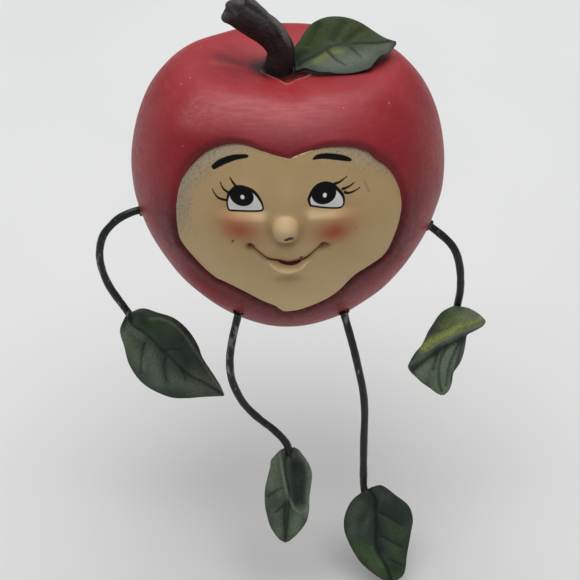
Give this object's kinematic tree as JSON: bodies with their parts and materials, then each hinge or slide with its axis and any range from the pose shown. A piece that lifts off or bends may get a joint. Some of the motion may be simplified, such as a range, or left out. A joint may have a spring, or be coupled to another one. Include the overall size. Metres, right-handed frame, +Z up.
{
  "type": "apple shelf sitter",
  "caption": "Leaning apple figure with a heart-shaped smiling face, a twig stem, bendable wire limbs and leaf hands and feet, made to sit on a shelf edge.",
  "frame": {"origin": "centre of the flat seat under the apple", "axes": "+Z up, the face looks towards -Y, and +X is to the right as seen from the front"},
  "size_m": [0.1391, 0.1266, 0.207],
  "materials": {
    "apple_red": "satin red paint on cast resin, with a dark wash in the hollows",
    "face_cream": "matt cream paint on cast resin, with painted features and blush",
    "stem_brown": "matt dark brown paint on cast resin",
    "leaf_green": "matt dark green paint on cast resin, brushed with lighter green",
    "wire_green": "dark green paint on soft steel wire, worn in places"
  },
  "bodies": {
    "apple": {"apple_body": "apple_red", "face_panel": "face_cream", "stem": "stem_brown", "crown_leaf": "leaf_green", "left_arm_root": "wire_green", "right_arm_root": "wire_green", "left_leg_root": "wire_green", "right_leg_root": "wire_green"},
    "left_arm": {"left_arm_wire": "wire_green", "left_hand_leaf": "leaf_green"},
    "right_arm": {"right_arm_wire": "wire_green", "right_hand_leaf": "leaf_green"},
    "left_leg": {"left_leg_wire": "wire_green", "left_foot_leaf": "leaf_green"},
    "right_leg": {"right_leg_wire": "wire_green", "right_foot_leaf": "leaf_green"}
  },
  "joints": [
    {"name": "left_arm_bend", "type": "hinge", "parent": "apple", "child": "left_arm", "pos_m": [-0.0558, -0.01221, 0.04419], "axis": [0, 1, 0], "range_deg": [0, 60]},
    {"name": "right_arm_bend", "type": "hinge", "parent": "apple", "child": "right_arm", "pos_m": [0.05311, -0.01383, 0.03641], "axis": [0, -1, 0], "range_deg": [0, 60]},
    {"name": "left_leg_bend", "type": "hinge", "parent": "apple", "child": "left_leg", "pos_m": [-0.01818, -0.03647, 0.01391], "axis": [-1, 0, 0], "range_deg": [-15, 70]},
    {"name": "right_leg_bend", "type": "hinge", "parent": "apple", "child": "right_leg", "pos_m": [0.02057, -0.03445, 0.01225], "axis": [-1, 0, 0], "range_deg": [-15, 70]}
  ]
}
